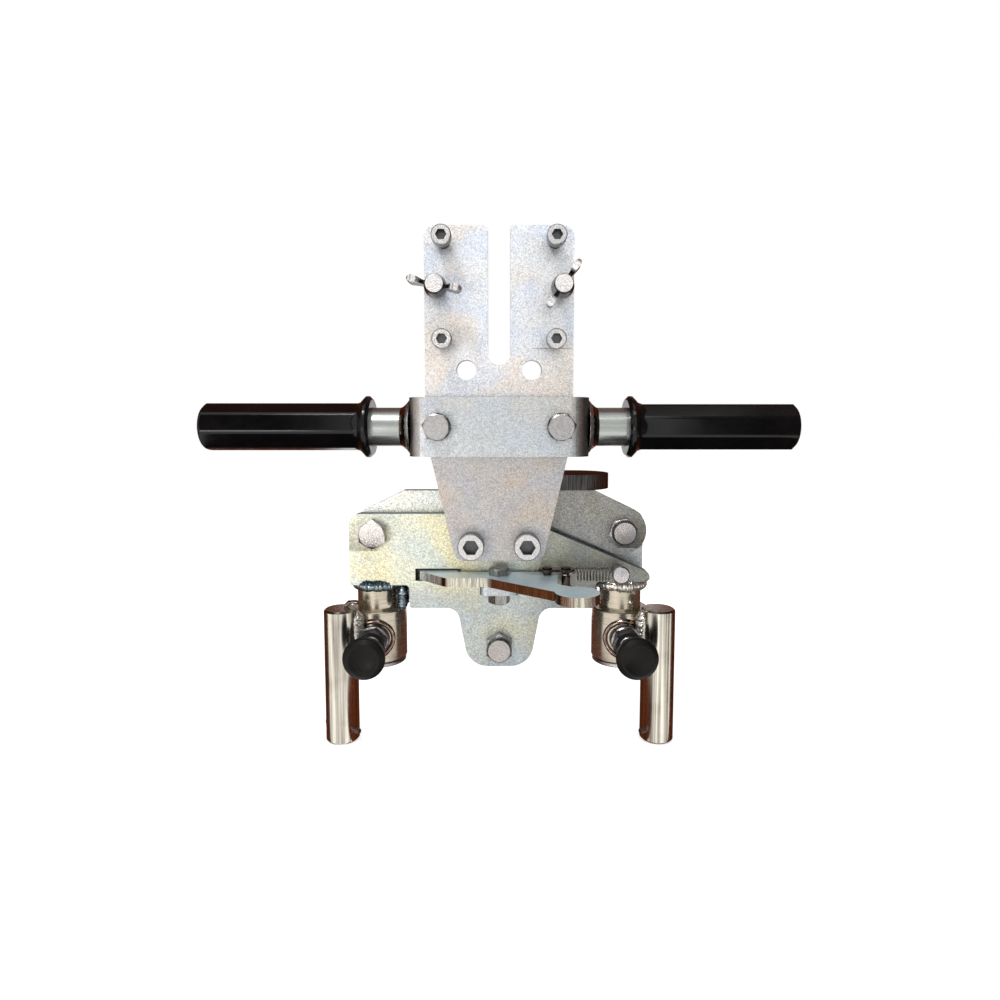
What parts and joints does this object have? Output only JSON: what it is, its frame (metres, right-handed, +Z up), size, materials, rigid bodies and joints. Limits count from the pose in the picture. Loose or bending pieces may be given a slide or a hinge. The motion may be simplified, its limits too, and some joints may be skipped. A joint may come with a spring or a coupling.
{
  "type": "kerb lifting clamp",
  "caption": "Two-handed lifting clamp for kerb stones: a slotted carrier with grips over scissor jaw plates, swivelling legs, index plungers and a sprung latch lever.",
  "frame": {"origin": "midway between the two plain holes of the carrier plate, on its back face", "axes": "+X to the operator's right, +Y away from the operator through the carrier, +Z up"},
  "size_m": [0.411, 0.1325, 0.352],
  "materials": {
    "zinc_plate": "passivated zinc plate",
    "bright_zinc": "bright zinc",
    "turned_steel": "turned bare steel",
    "dark_steel": "blackened steel",
    "spring_steel": "drawn wire",
    "grip_rubber": "glossy black grip",
    "knob_plastic": "matt black plastic"
  },
  "bodies": {
    "carrier": {"carrier_plate": "zinc_plate", "crossbar": "zinc_plate", "crossbar_bolts": "bright_zinc", "handle_tube_left": "zinc_plate", "handle_tube_right": "zinc_plate", "grip_left": "grip_rubber", "grip_right": "grip_rubber", "guide_screws": "bright_zinc", "link_screws": "bright_zinc", "link_spacers": "turned_steel", "yoke_plate": "zinc_plate", "rear_lug": "zinc_plate", "pivot_bolt_left": "bright_zinc", "pivot_bolt_right": "bright_zinc", "pivot_nut_left": "bright_zinc", "pivot_nut_right": "bright_zinc"},
    "wing_left": {"wing_bolt_left": "bright_zinc"},
    "wing_right": {"wing_bolt_right": "bright_zinc"},
    "jaw_left": {"jaw_plate_left": "zinc_plate", "post_left": "turned_steel", "end_washer_left": "bright_zinc", "end_screw_left": "bright_zinc", "centre_bolt": "bright_zinc", "centre_nut": "bright_zinc", "centre_spacer": "turned_steel", "centre_washer": "bright_zinc", "lever_bracket": "zinc_plate", "lever_bolt": "bright_zinc", "lever_nut": "bright_zinc", "anchor_screw": "bright_zinc"},
    "jaw_right": {"jaw_plate_right": "zinc_plate", "post_right": "turned_steel", "end_washer_right": "bright_zinc", "end_screw_right": "bright_zinc"},
    "swivel_left": {"sleeve_left": "turned_steel", "leg_left": "turned_steel", "cross_pin_left": "turned_steel", "plunger_body_left": "turned_steel", "plunger_nut_left": "dark_steel"},
    "swivel_right": {"sleeve_right": "turned_steel", "leg_right": "turned_steel", "cross_pin_right": "turned_steel", "plunger_body_right": "turned_steel", "plunger_nut_right": "dark_steel"},
    "plunger_left": {"plunger_pin_left": "turned_steel", "plunger_knob_left": "knob_plastic"},
    "plunger_right": {"plunger_pin_right": "turned_steel", "plunger_knob_right": "knob_plastic"},
    "lever": {"latch_lever": "zinc_plate"},
    "link": {"chain_plates": "dark_steel", "chain_pins": "dark_steel", "chain_collars": "dark_steel", "return_spring": "spring_steel"}
  },
  "joints": [
    {"name": "wing_left_turn", "type": "hinge", "parent": "carrier", "child": "wing_left", "pos_m": [-0.041, -0.02, 0.052], "axis": [0, -1, 0], "continuous": true},
    {"name": "wing_right_turn", "type": "hinge", "parent": "carrier", "child": "wing_right", "pos_m": [0.041, -0.02, 0.052], "axis": [0, -1, 0], "continuous": true},
    {"name": "jaw_left_swing", "type": "hinge", "parent": "carrier", "child": "jaw_left", "pos_m": [-0.088, 0.0055, -0.1125], "axis": [0, -1, 0], "range_deg": [-0.6, 1.5]},
    {"name": "jaw_right_swing", "type": "hinge", "parent": "carrier", "child": "jaw_right", "pos_m": [0.088, 0.0265, -0.1125], "axis": [0, 1, 0], "range_deg": [-0.6, 1.5]},
    {"name": "leg_left_swivel", "type": "hinge", "parent": "jaw_left", "child": "swivel_left", "pos_m": [-0.088, 0.016, -0.19], "axis": [0, 0, 1], "range_deg": [-130, 35]},
    {"name": "leg_right_swivel", "type": "hinge", "parent": "jaw_right", "child": "swivel_right", "pos_m": [0.088, 0.016, -0.19], "axis": [0, 0, -1], "range_deg": [-130, 35]},
    {"name": "plunger_left_pull", "type": "slide", "parent": "swivel_left", "child": "plunger_left", "axis": [0.0175, -0.9998, 0], "range_m": [0, 0.004], "stiffness_N_per_m": 800, "springref_m": -0.012},
    {"name": "plunger_right_pull", "type": "slide", "parent": "swivel_right", "child": "plunger_right", "axis": [0.0175, -0.9998, 0], "range_m": [0, 0.004], "stiffness_N_per_m": 800, "springref_m": -0.012},
    {"name": "lever_swing", "type": "hinge", "parent": "jaw_left", "child": "lever", "pos_m": [0, -0.0115, -0.142], "axis": [0, 0, 1], "range_deg": [-5, 5]},
    {"name": "link_swing", "type": "hinge", "parent": "lever", "child": "link", "pos_m": [0.033, -0.0115, -0.142], "axis": [0, 0, 1], "range_deg": [-8.3, 8.3]}
  ],
  "couplings": [
    {"joint": "jaw_right_swing", "follows": "jaw_left_swing", "ratio": 1},
    {"joint": "link_swing", "follows": "lever_swing", "ratio": -1.66}
  ]
}
